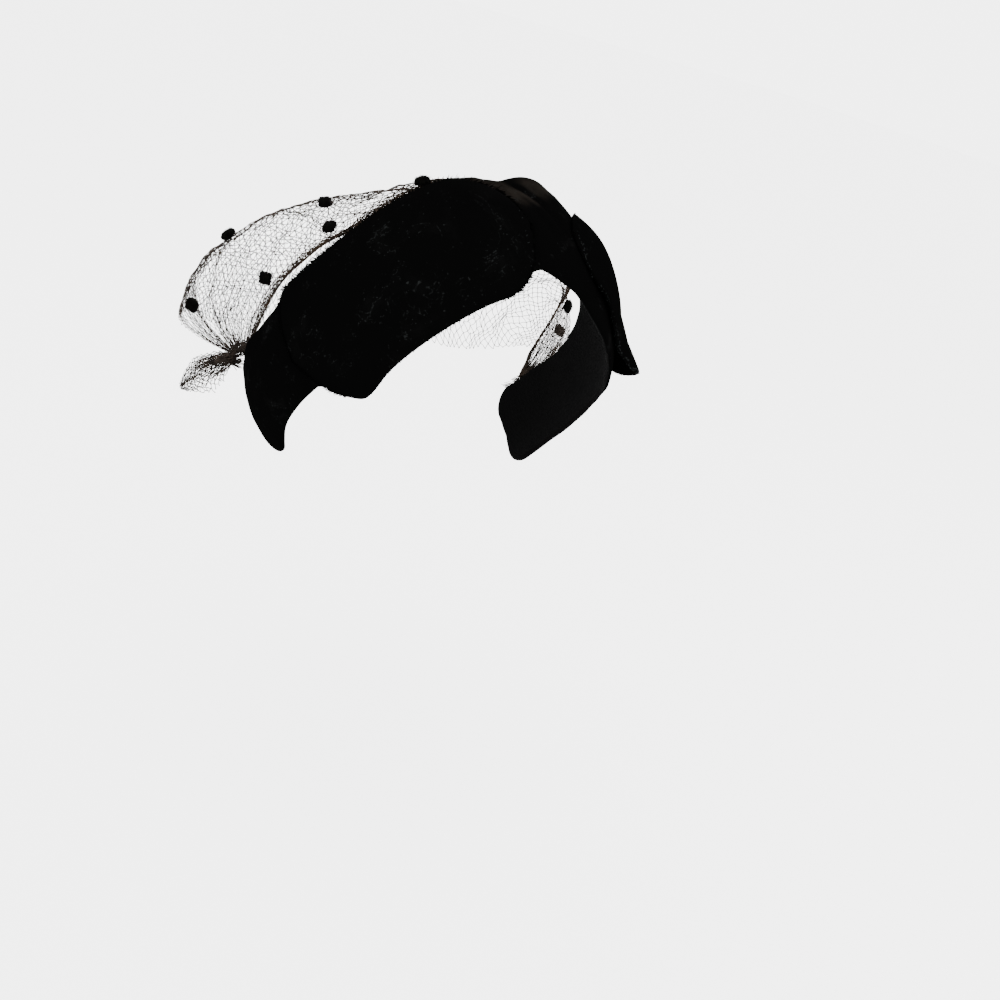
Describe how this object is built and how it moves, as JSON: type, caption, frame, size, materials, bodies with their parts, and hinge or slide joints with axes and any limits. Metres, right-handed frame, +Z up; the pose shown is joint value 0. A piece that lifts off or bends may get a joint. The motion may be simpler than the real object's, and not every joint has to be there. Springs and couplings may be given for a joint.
{
  "type": "bandeau hat",
  "caption": "Black velvet bandeau hat: a wide open band over the crown, two velvet wings meeting near the front, and a gathered puff of dotted veiling behind.",
  "frame": {"origin": "highest point of the band's inner face in the mid plane, where the crown of the head bears", "axes": "+Z up as worn, the front faces -Y, the wearer's left is +X"},
  "size_m": [0.2125, 0.1665, 0.1378],
  "materials": {
    "velvet": "matte",
    "veiling_net": "matte",
    "chenille": "matte"
  },
  "bodies": {
    "root": {"bandeau_band": "velvet", "dot_01": "chenille", "dot_02": "chenille", "dot_03": "chenille", "dot_04": "chenille", "dot_05": "chenille", "dot_06": "chenille", "dot_07": "chenille", "dot_08": "chenille", "dot_09": "chenille", "dot_10": "chenille", "dot_11": "chenille", "dot_12": "chenille", "dot_13": "chenille", "dot_14": "chenille", "dot_15": "chenille", "dot_16": "chenille", "dot_17": "chenille", "dot_18": "chenille", "veil": "veiling_net", "veil_tuft_left": "veiling_net", "veil_tuft_right": "veiling_net", "wing_left": "velvet", "wing_right": "velvet"}
  },
  "joints": []
}
